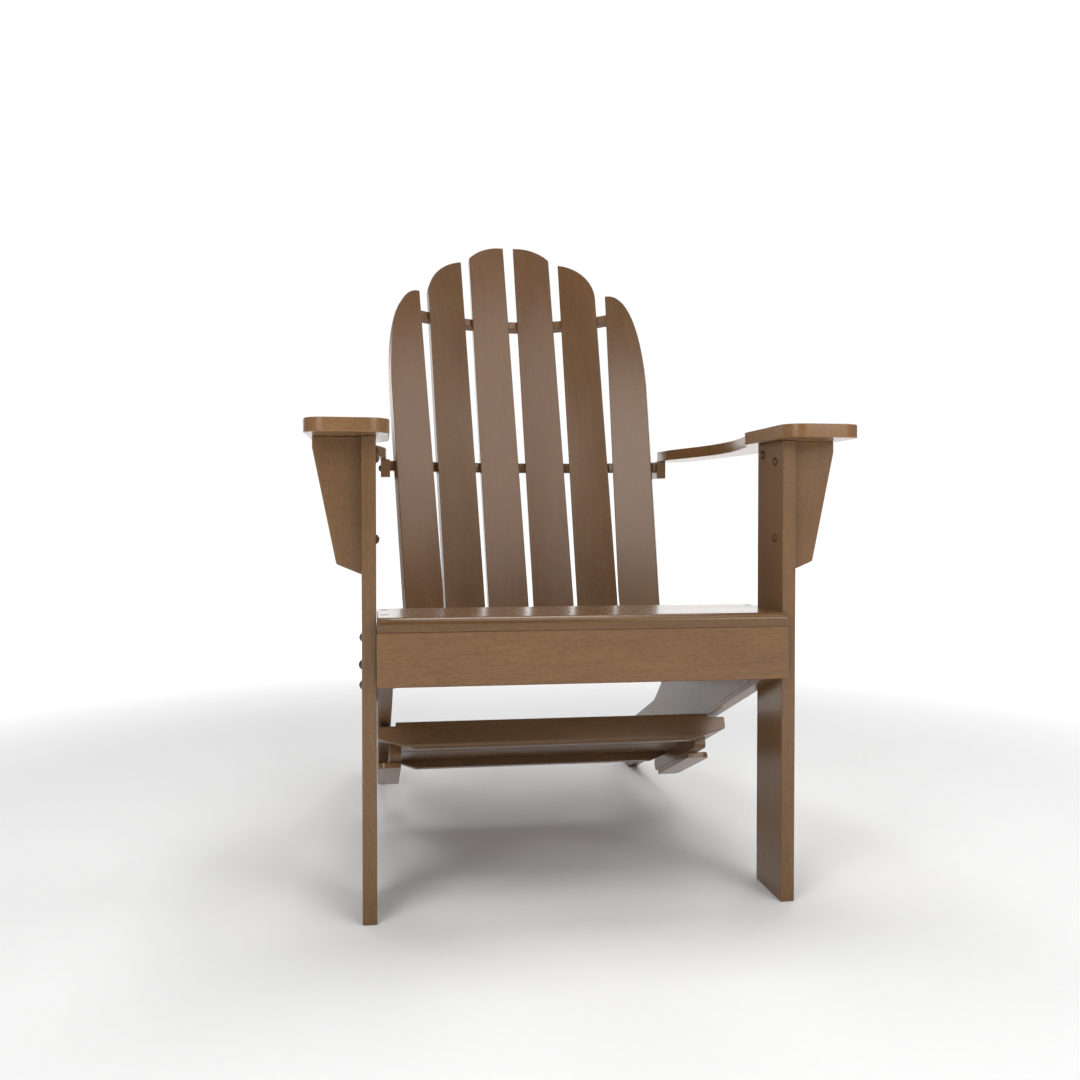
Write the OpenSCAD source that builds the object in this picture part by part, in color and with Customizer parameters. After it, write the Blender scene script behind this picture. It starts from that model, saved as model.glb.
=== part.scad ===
// Adirondack chair: fan back of six slats, sloping slatted seat, wide paddle arms and a
// slatted footrest that is stowed under the seat and slides forward on two ledges.
// Millimetres. The front faces -Y, +Z is up. "left" is -X, seen from the front.

/* [Frame] */
// Clear width between the two front legs
inner_w = 512; // [490:1:540]
// Height of the top of the front seat board
seat_h = 374; // [365:1:385]
// Slope of the seat and of the stringers, in degrees
slope = 21; // [20.5:0.1:21.5]
// Thickness of the legs, seat boards and small blocks
board_t = 17.5; // [16:0.5:19]
// Width of each front leg, front to back
leg_w = 90.5; // [80:0.5:95]
// Height of the front legs, up to the underside of the arms
leg_h = 592; // [590:1:596]
// Thickness of the two stringers
stringer_t = 20; // [18:0.5:22]
// Height of the apron under the front seat board
apron_h = 66; // [60:1:70]
// Thickness of the apron
apron_t = 20.5; // [18:0.5:24]
// How far back the rear feet reach from the front faces of the legs
foot_reach = 795; // [780:1:810]

/* [Seat] */
// Depth of the flat front seat board
front_board_d = 142; // [135:1:143]
// Width of the plain seat slats
seat_slat_w = 68; // [60:1:69]
// Gap between the seat slats
seat_gap = 7; // [5:0.5:8]
// Radius of the round edge on top of the seat front
seat_round = 8.5; // [5:0.5:10]

/* [Back] */
// Width of a back slat
slat_w = 68; // [64:0.5:69]
// Thickness of a back slat
slat_t = 15.2; // [14:0.1:16]

/* [Arms] */
// Thickness of the arms
arm_t = 17; // [15:0.5:19]
// How far the arms reach in front of the legs
arm_reach = 54; // [45:1:60]
// Half the overall width, at the outer edges of the arms
arm_outer = 340.5; // [336:0.5:345]

/* [Footrest] */
// How far the stowed footrest slides forward along the slope
footrest_travel = 150; // [100:5:160]
// Width of the ledges that carry the footrest runners
ledge_w = 35.5; // [34:0.5:37]

/* [Hidden] */
$fn = 48;

LEFT = -1;
RIGHT = 1;
FIT = 0.5;              // side clearance of a loose wooden part
DRILL = 0.1;            // how much wider a hole is than its screw, on the radius

half_in = inner_w / 2;
stringer_in = half_in - stringer_t;
rail_top = seat_h - board_t;            // flat top of the stringers
rail_h = apron_h - 1;                   // height of a stringer at its front end
rail_foot = rail_top - rail_h;          // underside of a stringer at its front end
seat_depth = 104.2;                     // stringer under the seat, square to the slope
tail_depth = 84;                        // stringer behind the seat, square to the slope
flat_end = (rail_foot + seat_depth / cos(slope) - rail_top) / tan(slope);

WOOD = [0.45, 0.33, 0.23];
WOOD_DARK = [0.38, 0.27, 0.19];
WOOD_WARM = [0.50, 0.36, 0.25];
BRONZE = [0.36, 0.27, 0.20];
STEEL = [0.22, 0.20, 0.19];

// ---- Outline helpers ----------------------------------------------------------------

function unit(v) = v / norm(v);

// The points of an arc of radius r that rounds the corner b between a and c.
function corner(a, b, c, r, step = 7) =
    r <= 0 ? [b] :
    let (
        u = unit(a - b),
        v = unit(c - b),
        half = acos(u * v) / 2,
        centre = b + unit(u + v) * r / sin(half),
        start = b + u * r / tan(half) - centre,
        turn = (u[0] * v[1] - u[1] * v[0] > 0 ? -1 : 1) * (180 - 2 * half),
        n = max(3, ceil(abs(turn) / step)),
        a0 = atan2(start[1], start[0])
    )
    [for (i = [0:n]) centre + r * [cos(a0 + turn * i / n), sin(a0 + turn * i / n)]];

// A polygon's points, each given as [x, y, corner radius].
function rounded(p) =
    let (n = len(p))
    [for (i = [0:n - 1])
        let (
            a = p[(i + n - 1) % n],
            b = p[i],
            c = p[(i + 1) % n]
        )
        each corner([a[0], a[1]], [b[0], b[1]], [c[0], c[1]], b[2])];

// ---- Placing helpers ----------------------------------------------------------------

// Everything is laid out from the front faces of the legs, then centred on its depth.
module placed() {
    translate([0, -origin_y, 0]) children();
}

// A part drawn for the right-hand side, put on the side asked for.
module on_side(side) {
    mirror([side == LEFT ? 1 : 0, 0, 0]) children();
}

// Extrudes a [y, z] outline along X, from x0 to x1.
module along_x(x0, x1) {
    translate([x0, 0, 0]) rotate([90, 0, 90]) linear_extrude(x1 - x0) children();
}

// Extrudes an [x, z] outline along Y, from y0 to y1.
module along_y(y0, y1) {
    translate([0, y1, 0]) rotate([90, 0, 0]) linear_extrude(y1 - y0) children();
}

// A box from one corner to the opposite one.
module block(low, high) {
    translate(low) cube(high - low);
}

// Local frame of the slope: Y runs back and down, Z is square to it. Its origin is the
// front end of the stringers' underside.
module on_underside() {
    translate([0, 0, rail_foot]) rotate([-slope, 0, 0]) children();
}

// The same frame on the seat line, with its origin where the flat front ends.
module on_seat() {
    translate([0, flat_end, rail_top]) rotate([-slope, 0, 0]) children();
}

// ---- Fasteners, head at the origin, shank along -Z ------------------------------------

csk_r = 4.5;            // countersunk screw head
csk_h = 2.8;
screw_r = 2.2;
dome_r = 6;             // domed bolt head
dome_h = 4.1;
bolt_r = 3.2;
nut_r = 5.5;
nut_h = 3;

module csk_screw(length, fit = 0) {
    translate([0, 0, -csk_h]) cylinder(h = csk_h, r1 = screw_r + fit, r2 = csk_r + fit);
    translate([0, 0, -length]) cylinder(h = length - csk_h, r = screw_r + fit);
}

// Its hole, which stays open above the head where the head is sunk.
module csk_hole(length) {
    csk_screw(length, DRILL);
    cylinder(h = 3, r = csk_r + DRILL);
}

module dome_screw(length) {
    sphere_r = (dome_r * dome_r + dome_h * dome_h) / (2 * dome_h);
    intersection() {
        translate([0, 0, dome_h - sphere_r]) sphere(r = sphere_r);
        cylinder(h = dome_h + 1, r = dome_r);
    }
    translate([0, 0, -length]) cylinder(h = length, r = bolt_r);
}

module dome_hole(length) {
    translate([0, 0, -length]) cylinder(h = length + 1, r = bolt_r + DRILL);
}

// ---- Front legs, stringers and apron --------------------------------------------------

// Places of the leg bolts, [y, z].
leg_bolt_at = [[66, 342.5], [17.5, 314.5], [54, 284]];
leg_bolt_grip = board_t + stringer_t;

module leg_bolt_places(side) {
    on_side(side)
        for (p = leg_bolt_at)
            translate([half_in + board_t, p[0], p[1]]) rotate([0, 90, 0]) children();
}

// Places of the domed screws from the legs into the arm brackets and cleats, [y, z].
arm_support_at = [[27.2, 566], [27.2, 467], [72, 577]];
arm_support_grip = board_t + 22;

module arm_support_places(side) {
    on_side(side)
        for (p = arm_support_at)
            translate([half_in, p[0], p[1]]) rotate([0, -90, 0]) children();
}

module front_leg(side) {
    color(WOOD)
    placed()
    difference() {
        on_side(side) block([half_in, 0, 0], [half_in + board_t, leg_w, leg_h]);
        leg_bolt_places(side) dome_hole(leg_bolt_grip + 1);
        arm_support_places(side) dome_hole(arm_support_grip);
        arm_screw_places(side) csk_hole(arm_screw_l);
    }
}

// Height of the stringer's seat line and tail line above the floor, at the depth y.
function seat_line(y) = rail_foot - y * tan(slope) + seat_depth / cos(slope);
function tail_line(y) = rail_foot - y * tan(slope) + tail_depth / cos(slope);

step_top = 507;         // where the seat line ends and drops to the tail line
step_low = 560;
foot_start = rail_foot / tan(slope);

// Dowels that join the apron to the front ends of the stringers.
dowel_r = 4;
dowel_l = 30;
dowel_in_apron = 14;
dowel_z = [rail_foot + 10, rail_top - 15];

module apron_dowel_places(side) {
    on_side(side)
        for (z = dowel_z)
            translate([half_in - stringer_t / 2, -dowel_in_apron, z])
                rotate([-90, 0, 0]) children();
}

module stringer(side) {
    outline = [
        [0, rail_foot, 0],
        [foot_start, 0, 40],
        [foot_reach, 0, 8],
        [foot_reach, tail_line(foot_reach), 28],
        [step_low, tail_line(step_low), 60],
        [step_top, seat_line(step_top), 8],
        [flat_end, rail_top, 0],
        [0, rail_top, 0]
    ];
    color(WOOD)
    placed()
    difference() {
        on_side(side)
            along_x(stringer_in, half_in - 0.05) polygon(rounded(outline));
        leg_bolt_places(side) dome_hole(leg_bolt_grip + 1);
        apron_dowel_places(side) cylinder(h = dowel_l + 1, r = dowel_r + DRILL);
        seat_screw_places(side) csk_hole(seat_screw_l);
        lower_rail_screw_places() csk_hole(seat_screw_l);
        guide_screw_places(side) csk_hole(guide_screw_l);
    }
}

module front_apron() {
    outline = [
        [-apron_t, rail_top - apron_h, 2],
        [0, rail_top - apron_h, 2],
        [0, rail_top, 0],
        [-apron_t, rail_top, 0]
    ];
    color(WOOD_WARM)
    placed()
    difference() {
        along_x(-half_in, half_in) polygon(rounded(outline));
        for (side = [LEFT, RIGHT])
            apron_dowel_places(side) cylinder(h = dowel_l, r = dowel_r + DRILL);
    }
}

module apron_dowels() {
    color(WOOD_WARM)
    placed()
    for (side = [LEFT, RIGHT])
        apron_dowel_places(side) cylinder(h = dowel_l, r = dowel_r);
}

// ---- Seat -------------------------------------------------------------------------------

seat_half = half_in - FIT;
slat_start = 4;         // first slat's distance behind the front board, on the slope
rear_board_start = slat_start + 3 * (seat_slat_w + seat_gap);
rear_board_side = 22;   // depth of the rear seat board at its ends
rear_board_mid = 86.5;  // and in its middle

// Seat screws go down into the stringers, one row for each board.
seat_screw_l = 42;
flat_screw_y = [26, front_board_d - apron_t - 22];
slope_screw_u = [
    for (i = [0:2]) each [
        slat_start + i * (seat_slat_w + seat_gap) + 16,
        slat_start + i * (seat_slat_w + seat_gap) + seat_slat_w - 16
    ],
    rear_board_start + 13
];

module seat_screw_places(side) {
    on_side(side)
        translate([half_in - stringer_t / 2, 0, 0]) {
            for (y = flat_screw_y) translate([0, y, seat_h]) children();
            on_seat()
                for (u = slope_screw_u) translate([0, u, board_t]) children();
        }
}

module seat_screw_holes() {
    for (side = [LEFT, RIGHT]) seat_screw_places(side) csk_hole(seat_screw_l);
}

module front_seat_board() {
    rear = front_board_d - apron_t;
    outline = [
        [-apron_t, rail_top, 1],
        [rear, rail_top, 1],
        [rear, seat_h, 3],
        [-apron_t, seat_h, seat_round]
    ];
    color(WOOD_WARM)
    placed()
    difference() {
        along_x(-seat_half, seat_half) polygon(rounded(outline));
        seat_screw_holes();
    }
}

module seat_slat(i) {
    start = slat_start + (i - 1) * (seat_slat_w + seat_gap);
    color(WOOD)
    placed()
    difference() {
        on_seat() block([-seat_half, start, 0], [seat_half, start + seat_slat_w, board_t]);
        seat_screw_holes();
    }
}

// Radius of the arc through the two rear corners and the middle of the rear edge.
function bow_radius(half, rise) = (half * half + rise * rise) / (2 * rise);

module rear_seat_board() {
    rise = rear_board_mid - rear_board_side;
    bow = bow_radius(seat_half, rise);
    sweep = asin(seat_half / bow);
    steps = 20;
    edge = [for (i = [0:steps])
        let (a = sweep * (1 - 2 * i / steps))
        [bow * sin(a), rear_board_start + rear_board_mid - bow * (1 - cos(a))]];
    color(WOOD)
    placed()
    difference() {
        on_seat()
            linear_extrude(board_t)
                polygon(concat([[-seat_half, rear_board_start],
                                [seat_half, rear_board_start]], edge));
        seat_screw_holes();
    }
}

// They also hold the lower back rail, which lies on the stringers behind the seat.
module seat_screws() {
    color(STEEL)
    placed() {
        for (side = [LEFT, RIGHT]) seat_screw_places(side) csk_screw(seat_screw_l);
        lower_rail_screw_places() csk_screw(seat_screw_l);
    }
}

// ---- Back -------------------------------------------------------------------------------

// The slats stand on a lower arc and lean onto an upper one. Both arcs bow backwards.
fan_low_z = 372.4;
fan_low_y = 479;
fan_low_r = 528;
fan_high_z = 837.8;
fan_high_y = 700;
fan_high_r = 465;
// Distance of the slats' centre lines from the middle of the chair, inner pair first
fan_low_x = [38, 111, 178.5];
fan_high_x = [42, 123, 202.5];
foot_l = 155;           // slat length below the lower arc
foot_trim = [0, 0, 6];  // how much the inner edge of each tapers in towards its foot

// Crown of each pair: [a, b, power, centre x, height of its top]. It is a superellipse
// with half axes a and b, centred off the slat's middle, towards the chair's middle.
crown = [
    [83, 83, 2, -30, 716.6],
    [88.5, 88.5, 2, -54.5, 678.9],
    [69, 247, 2.3, -34.5, 597]
];

function bow_y(x, r, y) = y - (r - sqrt(r * r - x * x));
function slat_low(k) = [fan_low_x[k], bow_y(fan_low_x[k], fan_low_r, fan_low_y), fan_low_z];
function slat_high(k) = [fan_high_x[k], bow_y(fan_high_x[k], fan_high_r, fan_high_y), fan_high_z];
function slat_run(k) = slat_high(k) - slat_low(k);
function slat_lean(k) = asin(slat_run(k)[1] / norm(slat_run(k)));
function slat_fan(k) = atan(slat_run(k)[0] / slat_run(k)[2]);
function slat_turn(k) = (asin(fan_low_x[k] / fan_low_r) + asin(fan_high_x[k] / fan_high_r)) / 2;

// Local frame of a right-hand slat: Z up its length, X across it, front face at Y = 0.
module in_slat(k, side) {
    on_side(side)
        translate(slat_low(k))
            rotate([0, slat_fan(k), 0])
                rotate([-slat_lean(k), 0, 0])
                    rotate([0, 0, -slat_turn(k)])
                        children();
}

function signed_pow(v, p) = sign(v) * pow(abs(v), p);

// Points of the crown, from the outer edge over the top to the inner edge.
function crown_points(k) =
    let (
        c = crown[k],
        half = slat_w / 2,
        t_out = acos(min(1, pow((half - c[3]) / c[0], c[2] / 2))),
        t_in = acos(signed_pow((-half - c[3]) / c[0], c[2] / 2)),
        n = 22
    )
    [for (i = [0:n])
        let (t = t_out + (t_in - t_out) * i / n)
        [c[3] + c[0] * signed_pow(cos(t), 2 / c[2]),
         c[4] - c[1] + c[1] * pow(max(0, sin(t)), 2 / c[2])]];

// How far back the crown's rear edge reaches, and the middle of the whole depth.
function rear_reach(k) =
    max([for (p = crown_points(k))
        slat_low(k)[1] + p[1] * sin(slat_lean(k)) + cos(slat_lean(k))
            * (slat_t * cos(slat_turn(k)) - p[0] * sin(slat_turn(k)))]);
origin_y = (max(foot_reach, rear_reach(0)) - arm_reach) / 2;

module slat_blank(k, side) {
    in_slat(k, side)
        along_y(0, slat_t)
            polygon(concat([[-slat_w / 2, 0], [foot_trim[k] - slat_w / 2, -foot_l],
                            [slat_w / 2, -foot_l]], crown_points(k)));
}

module back_slat(k, side) {
    color(k == 1 ? WOOD_DARK : WOOD)
    placed()
    difference() {
        slat_blank(k, side);
        for (rail = RAILS) back_screw_places(rail, k, side) csk_hole(rail[4]);
    }
}

// A rail lies behind the slats: [height of its mid plane at the chair's middle, its tilt
// to the floor, thickness, depth behind the slats, screw length].
LOWER = [237.5 + board_t / 2 / cos(slope), slope, board_t, 34, 46];
MIDDLE = [581.5, 0, 17, 25, 36];
UPPER = [859, 25.3, 16, 16, 27];
RAILS = [LOWER, MIDDLE, UPPER];
upper_half = 203;       // half the length of the upper rail

// Where the back face of the middle slats crosses the rail's mid plane.
function slat_normal(k) = [
    sin(slat_turn(k)), cos(slat_turn(k)) * cos(slat_lean(k)), -sin(slat_lean(k))
];
function rail_y(rail) =
    let (d = unit(slat_run(0)))
    slat_low(0)[1] + slat_t / cos(slat_lean(0)) + (rail[0] - fan_low_z) * d[1] / d[2];

// Where the slat's back centre line crosses the rail's plane, as [x, distance back].
function rail_hit(rail, k) =
    let (
        o = [0, rail_y(rail), rail[0]],
        up = [0, sin(rail[1]), cos(rail[1])],
        back = [0, cos(rail[1]), -sin(rail[1])],
        p = slat_low(k) + slat_normal(k) * slat_t,
        d = unit(slat_run(k)),
        s = ((o - p) * up) / (d * up),
        q = p + d * s
    )
    [q[0], (q - o) * back, s];

// Circle through the inner and the outer slat's crossing points: [radius, centre].
function rail_arc(rail) =
    let (
        a = rail_hit(rail, 0),
        b = rail_hit(rail, 2),
        c = (b[0] * b[0] + b[1] * b[1] - a[0] * a[0] - a[1] * a[1]) / (2 * (b[1] - a[1]))
    )
    [norm([a[0], a[1] - c]), c];

module in_rail(rail) {
    translate([0, rail_y(rail), rail[0]]) rotate([-rail[1], 0, 0]) children();
}

RAIL_BITE = 0.6;        // the arc runs this far into the slats' backs before it is cut flat

// Arc points of the rail at the distance d behind the slats, out to the half width w.
function rail_curve(rail, d, w, flip) =
    let (
        arc = rail_arc(rail),
        r = arc[0] + d,
        sweep = asin(w / r),
        n = 28
    )
    [for (i = [0:n])
        let (a = (flip ? -1 : 1) * sweep * (1 - 2 * i / n))
        [r * sin(a), arc[1] + r * cos(a)]];

module cut_slats() {
    for (side = [LEFT, RIGHT], k = [0:2]) slat_blank(k, side);
}

module back_screw_holes(rail) {
    for (side = [LEFT, RIGHT], k = [0:2])
        back_screw_places(rail, k, side) csk_hole(rail[4]);
}

// A rail bent to the fan, the same depth all along.
module bent_rail(rail, half_w) {
    color(WOOD_DARK)
    placed()
    difference() {
        in_rail(rail)
            translate([0, 0, -rail[2] / 2])
                linear_extrude(rail[2])
                    polygon(concat(rail_curve(rail, -RAIL_BITE, half_w, false),
                                   rail_curve(rail, rail[3], half_w, true)));
        cut_slats();
        back_screw_holes(rail);
        for (side = [LEFT, RIGHT]) arm_block_places(side) dome_hole(block_bolt_l);
    }
}

// The lower rail is a board across the stringers, with the fan's arc cut in its front.
lower_rail_arc = 214;           // half the width of that arc
lower_rail_rear = 56;           // rear edge of the board, behind the middle slats
lower_rail_screw_back = 22;     // its screws, behind the middle slats

module lower_back_rail() {
    curve = rail_curve(LOWER, -RAIL_BITE, lower_rail_arc, false);
    side_y = curve[0][1];
    color(WOOD_DARK)
    placed()
    difference() {
        in_rail(LOWER)
            translate([0, 0, -board_t / 2])
                linear_extrude(board_t)
                    polygon(concat(curve, [
                        [-seat_half, side_y], [-seat_half, lower_rail_rear],
                        [seat_half, lower_rail_rear], [seat_half, side_y]
                    ]));
        cut_slats();
        back_screw_holes(LOWER);
        lower_rail_screw_places() csk_hole(seat_screw_l);
    }
}

// Screws down through its ends into the stringers.
module lower_rail_screw_places() {
    in_rail(LOWER)
        for (side = [LEFT, RIGHT])
            translate([side * (half_in - stringer_t / 2), lower_rail_screw_back, board_t / 2])
                children();
}

// Two screws at each crossing, driven from behind, square to the slat. The outer slats
// are narrow at the upper rail, so their screws are closer there and nearer the middle.
function screw_at(rail, k) = rail == UPPER && k == 2 ? [-27, -9] : [-15, 15];

module back_screw_places(rail, k, side) {
    in_slat(k, side)
        for (x = screw_at(rail, k))
            translate([x, slat_t + rail[3] - RAIL_BITE - x * x / 2 / rail_arc(rail)[0],
                       rail_hit(rail, k)[2]])
                rotate([-90, 0, 0]) children();
}

module back_screws() {
    color(STEEL)
    placed()
    for (rail = RAILS, side = [LEFT, RIGHT], k = [0:2])
        back_screw_places(rail, k, side) csk_screw(rail[4]);
}

// ---- Arms -------------------------------------------------------------------------------

arm_inner = 240;        // inner edge of the paddle
arm_waist = 284;        // inner edge where the arm is narrowest
arm_tail = 237;         // inner edge at the rear end
arm_end = 565;          // rear end
block_in = 232.5;       // inner face of the block under the arm's rear end
block_t = 15.5;
block_y = 530;
block_d = 34;
block_h = 30;

// Screws from the top of the arm: [x, y], into the leg, the bracket and the block.
arm_screw_at = [
    [half_in + board_t / 2, 15], [half_in + board_t / 2, leg_w - 32],
    [half_in + 45, 27.2], [block_in + block_t / 2 + 1.5, block_y + 7]
];
arm_screw_l = 38;

module arm_screw_places(side) {
    on_side(side)
        for (p = arm_screw_at) translate([p[0], p[1], leg_h + arm_t]) children();
}

module arm(side) {
    outline = [
        [arm_inner, -arm_reach, 26],
        [arm_outer, -arm_reach, 26],
        [arm_outer - 3.5, 80, 300],
        [arm_outer - 7, 262, 260],
        [292, arm_end, 24],
        [arm_tail, arm_end, 18],
        [240, 490, 90],
        [arm_waist, 300, 480],
        [258, 141, 36],
        [arm_inner, 100, 30]
    ];
    color(WOOD_WARM)
    placed()
    difference() {
        on_side(side)
            translate([0, 0, leg_h]) linear_extrude(arm_t) polygon(rounded(outline));
        arm_screw_places(side) csk_hole(arm_screw_l);
    }
}

bracket_y = 18.5;

module arm_bracket(side) {
    wall = half_in + board_t;
    outline = [
        [wall, 424, 0],
        [304, 437, 4],
        [332.2, 578, 6],
        [332.2, leg_h, 0],
        [wall, leg_h, 0]
    ];
    color(WOOD)
    placed()
    difference() {
        on_side(side) along_y(bracket_y, bracket_y + board_t) polygon(rounded(outline));
        arm_support_places(side) dome_hole(arm_support_grip);
        arm_screw_places(side) csk_hole(arm_screw_l);
    }
}

module arm_cleat(side) {
    wall = half_in + board_t;
    start = bracket_y + board_t + 2;
    color(WOOD_DARK)
    placed()
    difference() {
        on_side(side)
            along_x(wall, wall + board_t)
                polygon(rounded([[start, leg_h - 30, 3], [leg_w - 2, leg_h - 30, 8],
                                 [leg_w - 2, leg_h, 0], [start, leg_h, 0]]));
        arm_support_places(side) dome_hole(arm_support_grip);
    }
}

block_bolt_l = block_t + 13;

// Bolt through the block into the end of the middle back rail.
module arm_block_places(side) {
    on_side(side)
        translate([block_in + block_t, block_y + 19, MIDDLE[0] - 4])
            rotate([0, 90, 0]) children();
}

module arm_block(side) {
    color(WOOD_DARK)
    placed()
    difference() {
        on_side(side)
            block([block_in, block_y, leg_h - block_h],
                  [block_in + block_t, block_y + block_d, leg_h]);
        arm_block_places(side) dome_hole(block_bolt_l);
        arm_screw_places(side) csk_hole(arm_screw_l);
    }
}

module leg_bolts() {
    color(BRONZE)
    placed()
    for (side = [LEFT, RIGHT]) leg_bolt_places(side) dome_screw(leg_bolt_grip + 1);
}

// Sleeve nuts on the inner faces of the stringers.
module leg_nuts() {
    color(BRONZE)
    placed()
    for (side = [LEFT, RIGHT])
        leg_bolt_places(side)
            translate([0, 0, -leg_bolt_grip - nut_h])
                difference() {
                    cylinder(h = nut_h, r = nut_r);
                    translate([0, 0, 1]) cylinder(h = nut_h, r = bolt_r + DRILL);
                }
}

module arm_support_screws() {
    color(BRONZE)
    placed()
    for (side = [LEFT, RIGHT]) arm_support_places(side) dome_screw(arm_support_grip - 1);
}

module arm_block_bolts() {
    color(STEEL)
    placed()
    for (side = [LEFT, RIGHT]) arm_block_places(side) dome_screw(block_bolt_l - 1);
}

module arm_screws() {
    color(STEEL)
    placed()
    for (side = [LEFT, RIGHT]) arm_screw_places(side) csk_screw(arm_screw_l - 0.5);
}

// ---- Footrest and its guides, in the frame of the stringers' underside -------------------

rest_front = 244.5;     // front face of the footrest, stowed
rest_board_t = 17.5;
rest_top = -7;          // top of its boards, just under the stringers
rest_low = rest_top - rest_board_t;
nose_t = 18;            // thickness of the front board
nose_drop = 39.3;       // its lower edge
nose_half = 229;        // half the width of its top, which stands between the stringers
nose_flat = 202;        // half the width of its straight lower edge
rest_half = half_in - 1;
rest_rear = 480;        // rear edge of the boards, stowed
rest_gap = 2;           // gap between the two boards
runner_in = 221;        // the runners' inner and outer faces
runner_out = 238;
runner_front = 295;
runner_rear = 548;
runner_low = rest_low - 20;
ledge_top = runner_low - 0.3;
ledge_t = 8.2;
ledge_front = 337;
ledge_rear = 527;
batten_w = 18;
batten_t = 12.5;
block_start = rest_rear + 2;

module ledge_outline() {
    inner = half_in - ledge_w;
    polygon(rounded([[inner, ledge_front, 2], [half_in - 0.5, ledge_front, 12],
                     [half_in - 0.5, ledge_rear, 12], [inner, ledge_rear, 2]]));
}

guide_screw_l = 70;
guide_screw_y = [block_start + 11, ledge_rear - 11];

module guide_screw_places(side) {
    on_side(side)
        on_underside()
            for (y = guide_screw_y)
                translate([(runner_out + 1 + half_in) / 2, y, ledge_top - ledge_t])
                    rotate([180, 0, 0]) children();
}

module guide_block(side) {
    color(WOOD_DARK)
    placed()
    difference() {
        on_side(side)
            on_underside()
                block([runner_out + 1, block_start, ledge_top],
                      [half_in - 0.5, ledge_rear - 2, 0]);
        guide_screw_places(side) csk_hole(guide_screw_l);
    }
}

module guide_ledge(side) {
    color(WOOD)
    placed()
    difference() {
        on_side(side)
            on_underside()
                translate([0, 0, ledge_top - ledge_t]) linear_extrude(ledge_t) ledge_outline();
        guide_screw_places(side) csk_hole(guide_screw_l);
    }
}

module guide_screws() {
    color(STEEL)
    placed()
    for (side = [LEFT, RIGHT]) guide_screw_places(side) csk_screw(guide_screw_l - 0.5);
}

// Screws up through the runners into the boards, front to back.
rest_screw_l = 31;
rest_screw_y = [rest_front + nose_t + 44, 400, rest_rear - 9];

module footrest_screw_places(side) {
    on_side(side)
        on_underside()
            for (y = rest_screw_y)
                translate([(runner_in + runner_out) / 2, y, runner_low])
                    rotate([180, 0, 0]) children();
}

// Screws from below through the rear batten into the last board.
batten_screw_l = 24;
batten_screw_x = [60, 190];

module batten_screw_places(side) {
    on_side(side)
        on_underside()
            for (x = batten_screw_x)
                translate([x, rest_rear - batten_w / 2, rest_low - batten_t])
                    rotate([180, 0, 0]) children();
}

module footrest_screw_holes() {
    for (side = [LEFT, RIGHT]) {
        footrest_screw_places(side) csk_hole(rest_screw_l);
        batten_screw_places(side) csk_hole(batten_screw_l);
    }
}

// Dowels that join the front board to the board behind it.
nose_dowel_in = 12;     // their depth in the front board
nose_dowel_x = [70, 190];

module nose_dowel_places(side) {
    on_side(side)
        on_underside()
            for (x = nose_dowel_x)
                translate([x, rest_front + nose_t - nose_dowel_in, (rest_top + rest_low) / 2])
                    rotate([-90, 0, 0]) children();
}

module nose_dowel_holes() {
    for (side = [LEFT, RIGHT])
        nose_dowel_places(side) cylinder(h = dowel_l, r = dowel_r + DRILL);
}

module footrest_dowels() {
    color(WOOD)
    placed()
    for (side = [LEFT, RIGHT])
        nose_dowel_places(side) cylinder(h = dowel_l, r = dowel_r);
}

module footrest_front_board() {
    nose_r = 7;
    face = [
        [-nose_half, -1.5, 1], [-nose_half - 1, rest_top, 1],
        [-rest_half, rest_top, 2], [-rest_half, rest_low, 4],
        [-nose_flat, -nose_drop, 12], [nose_flat, -nose_drop, 12],
        [rest_half, rest_low, 4], [rest_half, rest_top, 2],
        [nose_half + 1, rest_top, 1], [nose_half, -1.5, 1]
    ];
    side = [
        [rest_front, 1, 0], [rest_front, -nose_drop - 1, nose_r + 1],
        [rest_front + nose_t, -nose_drop - 1, 3], [rest_front + nose_t, 1, 0]
    ];
    color(WOOD)
    placed()
    difference() {
        on_underside()
            intersection() {
                along_y(rest_front - 1, rest_front + nose_t + 1) polygon(rounded(face));
                along_x(-rest_half - 1, rest_half + 1) polygon(rounded(side));
            }
        nose_dowel_holes();
    }
}

module footrest_board(i) {
    start = rest_front + nose_t;
    depth = (rest_rear - start - rest_gap) / 2;
    low = start + (i - 1) * (depth + rest_gap);
    color(WOOD)
    placed()
    difference() {
        on_underside() block([-rest_half, low, rest_low], [rest_half, low + depth, rest_top]);
        footrest_screw_holes();
        nose_dowel_holes();
    }
}

module footrest_runner(side) {
    color(WOOD_DARK)
    placed()
    difference() {
        on_side(side)
            on_underside()
                along_x(runner_in, runner_out)
                    polygon(rounded([
                        [runner_front, rest_low, 3], [runner_front, runner_low, 7],
                        [runner_rear, runner_low, 9], [runner_rear, rest_low, 9]
                    ]));
        footrest_screw_holes();
    }
}

module footrest_rear_batten() {
    end = runner_in - 0.2;
    color(WOOD_DARK)
    placed()
    difference() {
        on_underside()
            along_y(rest_rear - batten_w, rest_rear)
                polygon(rounded([[-end, rest_low, 0], [-end, rest_low - 3, 1],
                                 [-end + 26, rest_low - batten_t, 3],
                                 [end - 26, rest_low - batten_t, 3],
                                 [end, rest_low - 3, 1], [end, rest_low, 0]]));
        footrest_screw_holes();
    }
}

module footrest_screws() {
    color(STEEL)
    placed()
    for (side = [LEFT, RIGHT]) {
        footrest_screw_places(side) csk_screw(rest_screw_l - 0.5);
        batten_screw_places(side) csk_screw(batten_screw_l - 0.5);
    }
}

// ---- Every node -------------------------------------------------------------------------

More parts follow.
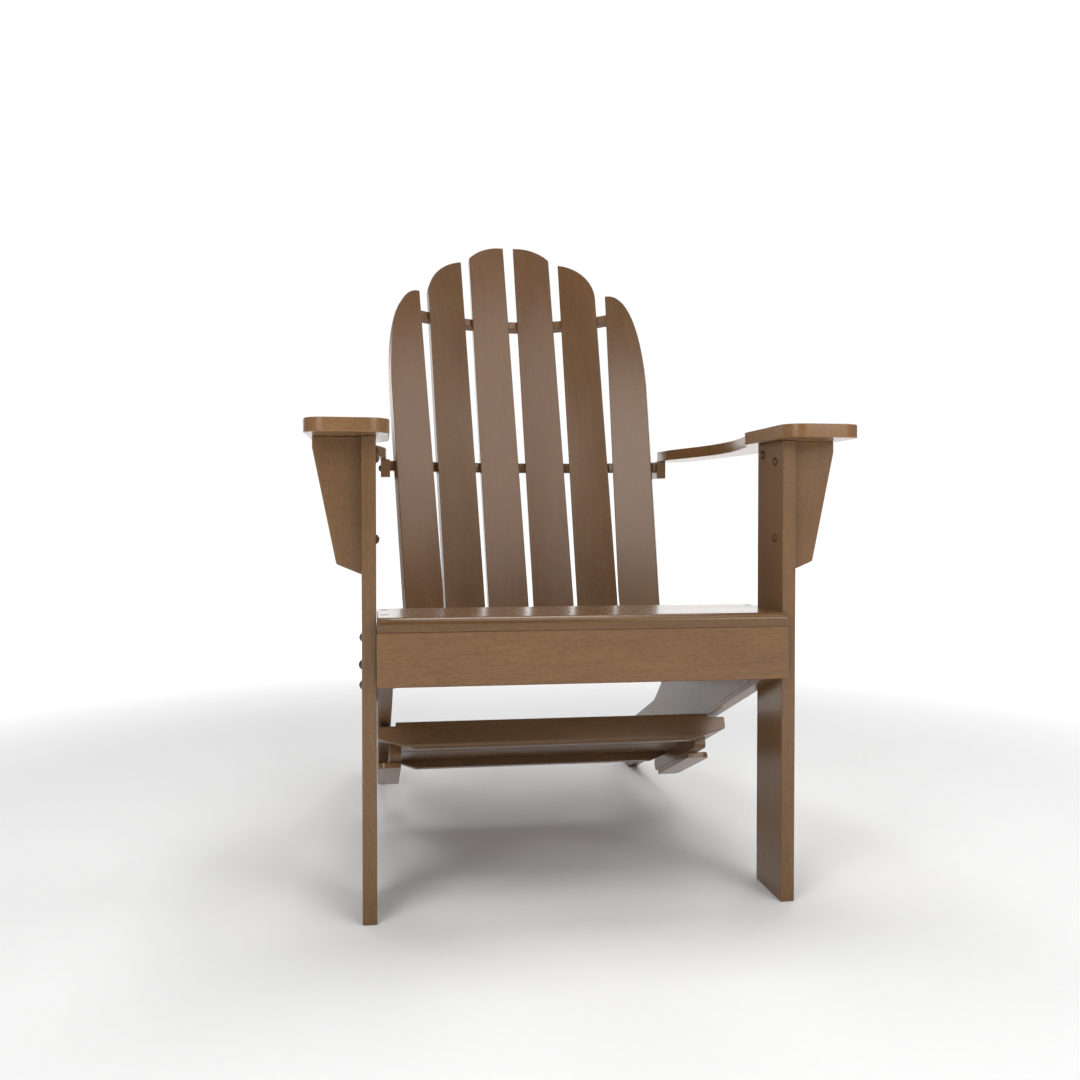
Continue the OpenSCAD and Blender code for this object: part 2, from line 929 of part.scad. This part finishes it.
front_leg(LEFT);  // left_front_leg
front_leg(RIGHT);  // right_front_leg
stringer(LEFT);  // left_stringer
stringer(RIGHT);  // right_stringer
front_apron();
front_seat_board();
seat_slat(1);  // seat_slat_1
seat_slat(2);  // seat_slat_2
seat_slat(3);  // seat_slat_3
rear_seat_board();
lower_back_rail();
bent_rail(MIDDLE, block_in);  // middle_back_rail
bent_rail(UPPER, upper_half);  // upper_back_rail
back_slat(2, LEFT);  // back_slat_1
back_slat(1, LEFT);  // back_slat_2
back_slat(0, LEFT);  // back_slat_3
back_slat(0, RIGHT);  // back_slat_4
back_slat(1, RIGHT);  // back_slat_5
back_slat(2, RIGHT);  // back_slat_6
arm(LEFT);  // left_arm
arm(RIGHT);  // right_arm
arm_bracket(LEFT);  // left_arm_bracket
arm_bracket(RIGHT);  // right_arm_bracket
arm_cleat(LEFT);  // left_arm_cleat
arm_cleat(RIGHT);  // right_arm_cleat
arm_block(LEFT);  // left_arm_block
arm_block(RIGHT);  // right_arm_block
guide_block(LEFT);  // left_guide_block
guide_block(RIGHT);  // right_guide_block
guide_ledge(LEFT);  // left_guide_ledge
guide_ledge(RIGHT);  // right_guide_ledge
footrest_front_board();
footrest_board(1);  // footrest_board_1
footrest_board(2);  // footrest_board_2
footrest_runner(LEFT);  // footrest_left_runner
footrest_runner(RIGHT);  // footrest_right_runner
footrest_rear_batten();
leg_bolts();
leg_nuts();
arm_support_screws();
arm_block_bolts();
arm_screws();
seat_screws();
back_screws();
footrest_screws();
guide_screws();
apron_dowels();
footrest_dowels();
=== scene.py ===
"""Adirondack chair: stained hardwood boards, domed bolts and a pale studio floor.

Every board keeps its CAD shape and gets eased edges and a wood of its own, whose grain
runs along the board. The boards differ in tone, figure and pore pattern.
"""

import math

import bpy
import numpy as np
from mathutils import Matrix, Vector


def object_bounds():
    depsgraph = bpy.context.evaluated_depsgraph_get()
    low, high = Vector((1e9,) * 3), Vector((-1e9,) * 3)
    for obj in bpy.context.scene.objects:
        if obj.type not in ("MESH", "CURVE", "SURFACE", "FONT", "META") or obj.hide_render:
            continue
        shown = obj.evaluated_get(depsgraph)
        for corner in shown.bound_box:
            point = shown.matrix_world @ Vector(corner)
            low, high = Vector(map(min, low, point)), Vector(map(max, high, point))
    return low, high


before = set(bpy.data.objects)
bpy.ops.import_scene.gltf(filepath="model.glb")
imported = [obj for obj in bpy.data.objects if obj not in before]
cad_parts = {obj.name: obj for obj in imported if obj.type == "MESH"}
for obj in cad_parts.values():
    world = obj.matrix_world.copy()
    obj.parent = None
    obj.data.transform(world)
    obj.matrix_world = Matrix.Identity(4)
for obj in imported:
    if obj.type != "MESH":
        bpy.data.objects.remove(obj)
cad_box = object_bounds()

# ---- Sizes and looks, in metres and linear colours ----------------------------------------

CAMERA_AT = (-0.2554, -1.6702, 0.4943)
CAMERA_TILT = 88.763          # degrees up from straight down
CAMERA_TURN = -8.706          # degrees, towards +X
CAMERA_LENS = 35.57           # mm
SENSOR = 36                   # mm
VIEW_DEPTH = 60               # how far the camera sees

EDGE = 0.0013                 # eased edge of a board
SMALL_EDGE = 0.0008           # eased edge of a small block
SHARP = math.radians(38)      # edges sharper than this are eased
FLAT = math.radians(0.4)      # triangles closer in angle than this become one face
WELD = 0.00001                # points closer than this become one
WORN_EDGE = 0.0016            # radius within which the stain on an edge looks worn
METAL_WORN_EDGE = 0.0006      # the same for plating
SMALL_PIECES = ("cleat", "block", "runner", "batten", "ledge", "dowel")

FLOOR_SIZE = 60
FLOOR_SHADES = [(0.89, 0.89, 0.89), (0.91, 0.91, 0.91)]

GLOW_FROM = 0.9               # the floor starts to shine this far from the middle
GLOW_TO = 3.0                 # and is at least as bright as the backdrop from here
FLOOR_GLOW = 1.0
ROOM_GLOW = 0.11
STUDIO_RADIUS = 14.0          # of the white dome that the camera sees all around
DOME_GLOW = 1.0
SCREEN_SIZE = 9               # of the white screen behind, seen only in reflections
SCREEN_AT = (0, 5, -2.3)
SCREEN_GLOW = 1.7

# Softboxes around the chair: [degrees round from the front towards +X, degrees up,
# side, radiance]. They stand LIGHT_REACH from the chair's middle.
LIGHT_REACH = 3.0
SOFTBOXES = {
    "key": [20, 58, 1.3, 2.8],
    "key_left": [-37, 52, 0.9, 4.5],
    "key_right": [62, 49, 0.9, 3.0],
    "fill_left": [-32, 18, 1.2, 5.0],
    "fill_right": [28, 18, 1.2, 4.4],
    "right": [90, 35, 1.0, 1.7],
    "back_right": [135, 45, 1.0, 3.8],
    "back_left": [225, 20, 1.0, 3.0],
    "top_back": [180, 80, 1.6, 5.9],
}

# The metal of each kind of fastener.
FASTENERS = {
    "leg_bolts": "bronze", "leg_nuts": "bronze", "arm_support_screws": "bronze",
    "arm_block_bolts": "black", "arm_screws": "steel", "seat_screws": "steel",
    "back_screws": "steel", "footrest_screws": "steel", "guide_screws": "steel",
}

# Metals: [colour, how metallic, roughness].
METALS = {
    "bronze": [(0.135, 0.078, 0.047), 0.55, 0.36],
    "black": [(0.030, 0.027, 0.025), 0.80, 0.38],
    "steel": [(0.115, 0.100, 0.088), 0.90, 0.34],
}

# Wood of each group of boards: [dark grain, light grain, roughness of the lacquer, and how
# strongly its short flecks show].
WOODS = {
    "frame": [(0.116, 0.056, 0.020), (0.208, 0.108, 0.040), 0.32, 0.34],
    "apron": [(0.112, 0.055, 0.019), (0.210, 0.106, 0.037), 0.32, 0.44],
    "seat": [(0.098, 0.046, 0.015), (0.172, 0.086, 0.030), 0.25, 0.34],
    "slat": [(0.078, 0.034, 0.0095), (0.133, 0.061, 0.0175), 0.24, 0.20],
    "arm": [(0.165, 0.080, 0.029), (0.290, 0.153, 0.063), 0.28, 0.30],
    "hidden": [(0.122, 0.063, 0.027), (0.200, 0.107, 0.047), 0.30, 0.22],
}
LACQUER_IOR = 1.5
LACQUER_TINT = (1.0, 0.87, 0.78)
COAT_WEIGHT = 0.22
COAT_ROUGHNESS = 0.16

# How many grains of each part of the figure fit in a metre along, across and through a board.
GRAIN = {
    "wander": (1.6, 6.0, 6.0),
    "bend": (9.0, 40.0, 40.0),
    "fleck": (120.0, 620.0, 620.0),
    "streak": (9.0, 420.0, 420.0),
    "fibre": (90.0, 1900.0, 1900.0),
    "pore": (120.0, 1300.0, 1300.0),
    "cloud": (7.0, 24.0, 24.0),
}
# How far each part of the figure takes the tone from the dark grain towards the light.
STREAK_SHARE = 0.20
CLOUD_SHARE = 0.26
RING_SHARE = 0.12
FIBRE_SHARE = 0.30


def wood_of(name):
    """The group that a board belongs to."""
    if name.startswith("back_slat"):
        return "slat"
    if name in ("left_arm", "right_arm"):
        return "arm"
    if name.startswith("seat_slat") or name.endswith("seat_board"):
        return "seat"
    if name == "front_apron":
        return "apron"
    if name.startswith("footrest") or "guide" in name or "cleat" in name:
        return "hidden"
    return "frame"


# ---- Node helpers -------------------------------------------------------------------------

class Graph:
    """A material's nodes, added one call at a time."""

    def __init__(self, name):
        self.material = bpy.data.materials.new(name)
        self.material.use_nodes = True
        self.tree = self.material.node_tree
        self.shader = self.tree.nodes["Principled BSDF"]

    def add(self, kind, inputs=None, **settings):
        """A new node, with its settings and its inputs."""
        made = self.tree.nodes.new(kind)
        for key, value in settings.items():
            setattr(made, key, value)
        for key, value in (inputs or {}).items():
            self.put(made.inputs[key], value)
        return made

    def put(self, socket, value):
        """Links a socket to the value, or sets it."""
        if isinstance(value, bpy.types.NodeSocket):
            self.tree.links.new(value, socket)
        else:
            socket.default_value = value

    def math(self, operation, a, b=0.0, clamp=False):
        made = self.add("ShaderNodeMath", {0: a, 1: b}, operation=operation, use_clamp=clamp)
        return made.outputs[0]

    def noise(self, vector, stretch, detail=2.0, roughness=0.5):
        """Noise whose grains are 1 / stretch metres long in each direction."""
        scaled = self.add("ShaderNodeMapping", {"Vector": vector, "Scale": stretch})
        made = self.add("ShaderNodeTexNoise", {
            "Vector": scaled.outputs[0], "Scale": 1.0, "Detail": detail,
            "Roughness": roughness,
        })
        return made.outputs[0]

    def step(self, value, low, high):
        """0 below low, 1 above high, and smooth between them."""
        made = self.add("ShaderNodeMapRange", {
            "Value": value, "From Min": low, "From Max": high,
        }, interpolation_type="SMOOTHSTEP")
        return made.outputs[0]

    def mix(self, factor, a, b):
        """Colour a where the factor is 0, and b where it is 1."""
        made = self.add("ShaderNodeMix", data_type="RGBA")
        self.put(made.inputs[0], factor)
        self.put(made.inputs[6], a)
        self.put(made.inputs[7], b)
        return made.outputs[2]

    def bump(self, height, distance, strength):
        made = self.add("ShaderNodeBump", {
            "Height": height, "Distance": distance, "Strength": strength,
        })
        self.put(self.shader.inputs["Normal"], made.outputs[0])

    def edge_wear(self, radius):
        """1 on the rounded-off edges and 0 on the faces."""
        soft = self.add("ShaderNodeBevel", {"Radius": radius}, samples=4)
        face = self.add("ShaderNodeNewGeometry")
        dot = self.add("ShaderNodeVectorMath", operation="DOT_PRODUCT")
        self.put(dot.inputs[0], soft.outputs[0])
        self.put(dot.inputs[1], face.outputs["Normal"])
        return self.step(dot.outputs["Value"], 0.985, 0.80)


def colour(rgb):
    """An opaque colour."""
    return (*rgb, 1.0)


# ---- Wood -----------------------------------------------------------------------------------

def board_axes(obj):
    """A board's middle, and its length, width and thickness directions, as rows."""
    mesh = obj.data
    mesh.calc_loop_triangles()
    points = np.empty(len(mesh.vertices) * 3)
    mesh.vertices.foreach_get("co", points)
    corners = np.empty(len(mesh.loop_triangles) * 3, dtype=np.int64)
    mesh.loop_triangles.foreach_get("vertices", corners)
    tri = points.reshape(-1, 3)[corners].reshape(-1, 3, 3)
    area = np.linalg.norm(np.cross(tri[:, 1] - tri[:, 0], tri[:, 2] - tri[:, 0]), axis=1) / 2
    middle = (tri.mean(axis=1) * area[:, None]).sum(axis=0) / area.sum()
    tri = tri - middle
    both = tri.sum(axis=1)
    spread = np.einsum("t,tki,tkj->ij", area, tri, tri)
    spread += np.einsum("t,ti,tj->ij", area, both, both)
    _, axes = np.linalg.eigh(spread)
    length, width = axes[:, 2], axes[:, 1]
    length = length if length[np.argmax(abs(length))] > 0 else -length
    width = width if width[np.argmax(abs(width))] > 0 else -width
    return middle, np.array([length, width, np.cross(length, width)])


def wood(name, obj, seed):
    """Stained and lacquered hardwood, with its grain along the board."""
    dark, light, roughness, flecks = WOODS[wood_of(name)]
    pick = np.random.default_rng(seed)
    tone = pick.uniform(0.88, 1.13)
    warmth = pick.uniform(-0.05, 0.06)
    tint = (tone * (1 + warmth), tone, tone * (1 - warmth))
    dark = [c * t for c, t in zip(dark, tint)]
    light = [c * t for c, t in zip(light, tint)]

    middle, axes = board_axes(obj)
    shift = pick.uniform(-3, 3, 3) - axes @ middle
    g = Graph("wood_" + name)
    place = g.add("ShaderNodeTexCoord").outputs["Object"]
    board = g.add("ShaderNodeMapping", {
        "Vector": place,
        "Rotation": Matrix(axes.tolist()).to_euler(),
        "Location": shift.tolist(),
    }).outputs[0]

    # Growth rings: distance from a pith beside the board, which wanders along it.
    wander = g.noise(board, GRAIN["wander"], detail=2.0)
    bend = g.noise(board, GRAIN["bend"], detail=3.0)
    parts = g.add("ShaderNodeSeparateXYZ", {0: board}).outputs
    pith = shift + axes @ middle
    across = g.math("SUBTRACT", parts[1], float(pith[1] + pick.uniform(-0.03, 0.03)))
    deep = g.math("SUBTRACT", parts[2], float(pith[2] + pick.uniform(0.03, 0.07)))
    away = g.math("SQRT", g.math("ADD", g.math("MULTIPLY", across, across),
                                 g.math("MULTIPLY", deep, deep)))
    away = g.math("ADD", away, g.math("MULTIPLY", wander, 0.060))
    away = g.math("ADD", away, g.math("MULTIPLY", bend, 0.010))
    ring = g.math("FRACT", g.math("MULTIPLY", away, float(pick.uniform(105, 150))))
    late = g.math("MULTIPLY", g.step(ring, 0.20, 0.95), g.step(ring, 1.0, 0.86))

    # Short flecks, fine fibres, dark pores, and slow changes of tone in patches.
    fleck = g.noise(board, GRAIN["fleck"], detail=3.0, roughness=0.6)
    streak = g.noise(board, GRAIN["streak"], detail=3.0, roughness=0.6)
    fibre = g.noise(board, GRAIN["fibre"], detail=2.0, roughness=0.6)
    pores = g.step(g.noise(board, GRAIN["pore"], detail=1.0), 0.615, 0.70)
    cloud = g.noise(board, GRAIN["cloud"], detail=3.0)

    share = g.math("MULTIPLY", g.step(fleck, 0.3, 0.7), flecks)
    streaks = g.math("MULTIPLY", g.step(streak, 0.25, 0.75), STREAK_SHARE)
    clouds = g.math("MULTIPLY", g.step(cloud, 0.25, 0.75), CLOUD_SHARE)
    rings = g.math("MULTIPLY", g.math("SUBTRACT", 1.0, late), RING_SHARE)
    fibres = g.math("MULTIPLY", g.math("SUBTRACT", fibre, 0.5), FIBRE_SHARE)
    for part in (streaks, clouds, rings):
        share = g.math("ADD", share, part)
    share = g.math("ADD", share, fibres, clamp=True)
    base = g.mix(share, colour(dark), colour(light))
    pored = g.mix(g.math("MULTIPLY", pores, 0.50), base, colour([c * 0.40 for c in dark]))

    # The stain is thinner where the edges were eased.
    worn = g.math("MULTIPLY", g.edge_wear(WORN_EDGE), g.math("MULTIPLY", fleck, 0.55))
    final = g.mix(worn, pored, colour([min(1.0, c * 1.45) for c in light]))
    g.put(g.shader.inputs["Base Color"], final)

    rough = g.math("ADD", roughness, g.math("MULTIPLY", pores, 0.10))
    rough = g.math("ADD", rough, g.math("MULTIPLY", g.math("SUBTRACT", cloud, 0.5), 0.08))
    g.put(g.shader.inputs["Roughness"], rough)
    g.shader.inputs["IOR"].default_value = LACQUER_IOR
    g.shader.inputs["Specular Tint"].default_value = colour(LACQUER_TINT)
    g.shader.inputs["Coat Weight"].default_value = COAT_WEIGHT
    g.shader.inputs["Coat Roughness"].default_value = COAT_ROUGHNESS

    height = g.math("SUBTRACT", g.math("MULTIPLY", fleck, 0.5), g.math("MULTIPLY", pores, 0.8))
    height = g.math("ADD", height, g.math("MULTIPLY", streak, 0.3))
    g.bump(height, 0.00022, 0.12)
    return g.material


# ---- Metal ----------------------------------------------------------------------------------

def metal(kind):
    """Plated metal with a faint turned grain, finger marks and worn edges."""
    rgb, metallic, roughness = METALS[kind]
    g = Graph("metal_" + kind)
    place = g.add("ShaderNodeTexCoord").outputs["Object"]
    fine = g.noise(place, (1400.0, 1400.0, 1400.0), detail=3.0, roughness=0.65)
    cloud = g.noise(place, (160.0, 160.0, 160.0), detail=2.0)
    shade = g.mix(g.step(cloud, 0.3, 0.7), colour([c * 0.72 for c in rgb]), colour(rgb))
    worn = g.math("MULTIPLY", g.edge_wear(METAL_WORN_EDGE), fine)
    g.put(g.shader.inputs["Base Color"], g.mix(worn, shade, colour([c * 2.2 for c in rgb])))
    g.put(g.shader.inputs["Roughness"],
          g.math("ADD", roughness - 0.08, g.math("MULTIPLY", cloud, 0.2)))
    g.shader.inputs["Metallic"].default_value = metallic
    g.bump(fine, 0.00008, 0.35)
    return g.material


# ---- The object -----------------------------------------------------------------------------

def dress(obj, material, edge):
    """Gives a CAD node its material, smooth shading and eased edges."""
    obj.data.materials.clear()
    obj.data.materials.append(material)
    obj.data.polygons.foreach_set("material_index", [0] * len(obj.data.polygons))
    obj.data.polygons.foreach_set("use_smooth", [True] * len(obj.data.polygons))
    weld = obj.modifiers.new("weld", "WELD")
    weld.merge_threshold = WELD
    if edge:
        flat = obj.modifiers.new("flat_faces", "DECIMATE")
        flat.decimate_type = "DISSOLVE"
        flat.angle_limit = FLAT
        ease = obj.modifiers.new("eased_edges", "BEVEL")
        ease.width = edge
        ease.segments = 3
        ease.limit_method = "ANGLE"
        ease.angle_limit = SHARP
        ease.use_clamp_overlap = False
        ease.miter_outer = "MITER_ARC"
    shade = obj.modifiers.new("clean_shading", "WEIGHTED_NORMAL")
    shade.keep_sharp = True


def dress_all():
    """Dresses every CAD node, with a wood of its own or a shared metal."""
    metals = {kind: metal(kind) for kind in METALS}
    for seed, (name, obj) in enumerate(sorted(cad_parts.items())):
        if name in FASTENERS:
            dress(obj, metals[FASTENERS[name]], 0.0)
        else:
            edge = SMALL_EDGE if any(word in name for word in SMALL_PIECES) else EDGE
            dress(obj, wood(name, obj, seed), edge)


# ---- Studio ---------------------------------------------------------------------------------

def make_floor():
    """A pale floor. Away from the chair it is lit like the backdrop, so it has no edge."""
    bpy.ops.mesh.primitive_plane_add(size=FLOOR_SIZE)
    floor = bpy.context.object
    floor.name = "studio_floor"
    g = Graph("studio_floor")
    place = g.add("ShaderNodeTexCoord").outputs["Object"]
    speckle = g.noise(place, (60.0, 60.0, 60.0), detail=2.0)
    g.put(g.shader.inputs["Base Color"],
          g.mix(speckle, *(colour(shade) for shade in FLOOR_SHADES)))
    g.shader.inputs["Roughness"].default_value = 1.0
    g.shader.inputs["Specular IOR Level"].default_value = 0.0
    far = g.add("ShaderNodeVectorMath", {0: place}, operation="LENGTH").outputs["Value"]
    glow = g.math("MULTIPLY", g.step(far, GLOW_FROM, GLOW_TO), FLOOR_GLOW)
    g.shader.inputs["Emission Color"].default_value = (1, 1, 1, 1)
    g.put(g.shader.inputs["Emission Strength"], glow)
    floor.data.materials.append(g.material)


def make_backdrop(name, seen_by, glow, add, **shape):
    """A white shape that shines, and that only one kind of ray meets."""
    add(**shape)
    backdrop = bpy.context.object
    backdrop.name = name
    g = Graph(name)
    g.shader.inputs["Base Color"].default_value = (0, 0, 0, 1)
    g.shader.inputs["Emission Color"].default_value = (1, 1, 1, 1)
    g.shader.inputs["Emission Strength"].default_value = glow
    backdrop.data.materials.append(g.material)
    for ray in ("camera", "diffuse", "glossy", "transmission", "volume_scatter", "shadow"):
        setattr(backdrop, "visible_" + ray, ray == seen_by)


def make_light(name, at, aim, side, glow):
    """A square softbox whose face shines with the radiance glow."""
    light = bpy.data.lights.new(name, "AREA")
    light.shape = "SQUARE"
    light.size = side
    light.energy = glow * math.pi * side ** 2
    lamp = bpy.data.objects.new(name, light)
    lamp.location = at
    lamp.rotation_euler = (Vector(aim) - Vector(at)).to_track_quat("-Z", "Y").to_euler()
    bpy.context.scene.collection.objects.link(lamp)


def make_lights():
    """The softboxes, all aimed at the chair's middle."""
    middle = Vector((0, 0, cad_box[1][2] / 2))
    for name, (turn, up, side, glow) in SOFTBOXES.items():
        turn, up = math.radians(turn), math.radians(up)
        level = math.cos(up)
        away = Vector((math.sin(turn) * level, -math.cos(turn) * level, math.sin(up)))
        make_light(name, middle + LIGHT_REACH * away, middle, side, glow)


def make_world():
    """A dim room, for soft shadows."""
    world = bpy.data.worlds.new("studio")
    world.use_nodes = True
    background = world.node_tree.nodes["Background"]
    background.inputs["Color"].default_value = (1, 1, 1, 1)
    background.inputs["Strength"].default_value = ROOM_GLOW
    bpy.context.scene.world = world


def make_camera():
    """The camera of the main view, in front and slightly to the left."""
    lens = bpy.data.cameras.new("camera")
    lens.lens = CAMERA_LENS
    lens.sensor_width = SENSOR
    lens.clip_end = VIEW_DEPTH
    camera = bpy.data.objects.new("camera", lens)
    camera.location = CAMERA_AT
    camera.rotation_euler = (math.radians(CAMERA_TILT), 0, math.radians(CAMERA_TURN))
    bpy.context.scene.collection.objects.link(camera)
    bpy.context.scene.camera = camera


make_camera()
make_world()
make_lights()
make_floor()
make_backdrop("studio_dome", "camera", DOME_GLOW, bpy.ops.mesh.primitive_uv_sphere_add,
              radius=STUDIO_RADIUS, segments=48, ring_count=24)
make_backdrop("studio_screen", "glossy", SCREEN_GLOW, bpy.ops.mesh.primitive_plane_add,
              size=SCREEN_SIZE, location=SCREEN_AT, rotation=(math.pi / 2, 0, 0))
dress_all()
bpy.context.scene.view_settings.view_transform = "Standard"
